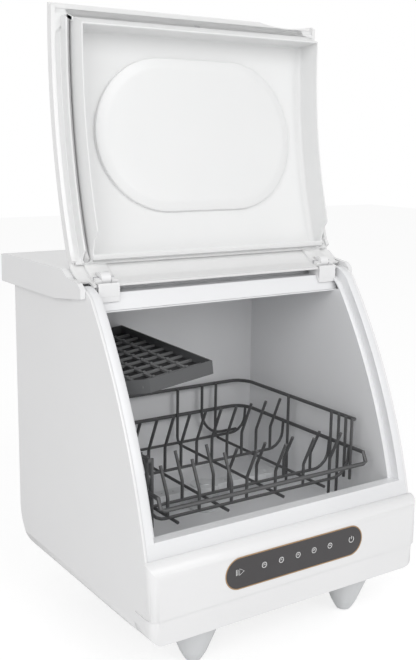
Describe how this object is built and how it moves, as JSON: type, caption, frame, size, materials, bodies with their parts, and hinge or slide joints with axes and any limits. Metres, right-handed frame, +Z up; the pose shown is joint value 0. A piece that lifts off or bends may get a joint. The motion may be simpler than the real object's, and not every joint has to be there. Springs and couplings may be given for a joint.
{
  "type": "countertop dishwasher",
  "caption": "Compact countertop dishwasher with a curved flip-up lid, a touch control strip, a wire dish rack, a cup tray and a turning spray arm, standing on conical feet.",
  "frame": {"origin": "on the worktop, under the middle of the whole appliance with its lid open", "axes": "+X to the right seen from the front, +Y to the back, +Z up; the lid is stored open"},
  "size_m": [0.434, 0.4194, 0.7944],
  "materials": {
    "outer_white": "smooth semi-gloss moulded ABS",
    "lid_white": "smooth semi-gloss moulded plastic",
    "tub_white": "smooth moulded polypropylene",
    "inner_white": "plain moulded plastic",
    "foot_white": "fine matt moulded plastic",
    "fascia_grey": "glossy dark touch panel",
    "copper_trim": "copper-coloured metallic trim",
    "board_green": "printed circuit board",
    "steel": "brushed stainless steel",
    "pump_grey": "plain moulded plastic",
    "spray_grey": "moulded polypropylene",
    "gland_black": "soft black rubber",
    "seal_grey": "soft pale silicone",
    "rack_grey": "dark grey nylon-coated steel wire",
    "tray_grey": "fine matt dark grey moulded plastic"
  },
  "bodies": {
    "body": {"left_side_panel": "outer_white", "right_side_panel": "outer_white", "base_pan": "inner_white", "base_front_strip": "outer_white", "front_panel": "outer_white", "back_panel": "outer_white", "top_cover": "outer_white", "top_cover_base": "inner_white", "tub": "tub_white", "header_bar": "outer_white", "hinge_block_left": "outer_white", "hinge_block_right": "outer_white", "hinge_pin_left": "steel", "hinge_pin_right": "steel", "control_fascia": "fascia_grey", "control_trim": "copper_trim", "touch_board": "board_green", "foot_front_left": "foot_white", "foot_front_right": "foot_white", "foot_rear_left": "foot_white", "foot_rear_right": "foot_white", "sump": "pump_grey", "wash_pump": "pump_grey", "drain_pump": "pump_grey", "heater": "steel", "inlet_valve": "inner_white", "water_inlet": "inner_white", "drain_outlet": "pump_grey", "cord_gland": "gland_black", "back_screws": "steel", "base_screws": "steel", "spray_hub": "spray_grey", "tray_hooks": "tray_grey"},
    "lid": {"lid_skin": "outer_white", "lid_liner": "lid_white", "lid_oval_panel": "lid_white", "lid_seal": "seal_grey", "lid_magnet": "lid_white", "lid_hinge_left": "outer_white", "lid_hinge_right": "outer_white"},
    "rack": {"rack_frame": "rack_grey", "rack_tines": "rack_grey"},
    "tray": {"cup_tray": "tray_grey"},
    "spray": {"spray_arm": "spray_grey"},
    "filter": {"filter_cup": "pump_grey"}
  },
  "joints": [
    {"name": "lid_hinge", "type": "hinge", "parent": "body", "child": "lid", "pos_m": [0, -0.0315, 0.4642], "axis": [1, 0, 0], "range_deg": [0, 163.5]},
    {"name": "rack_lift", "type": "slide", "parent": "body", "child": "rack", "axis": [0, 0, 1], "range_m": [0, 0.04]},
    {"name": "tray_lift", "type": "slide", "parent": "body", "child": "tray", "axis": [0, 0, 1], "range_m": [0, 0.015]},
    {"name": "spray_spin", "type": "hinge", "parent": "body", "child": "spray", "pos_m": [0, 0, 0.148], "axis": [0, 0, 1], "continuous": true},
    {"name": "filter_lift", "type": "slide", "parent": "body", "child": "filter", "axis": [0, 0, 1], "range_m": [0, 0.03]}
  ]
}
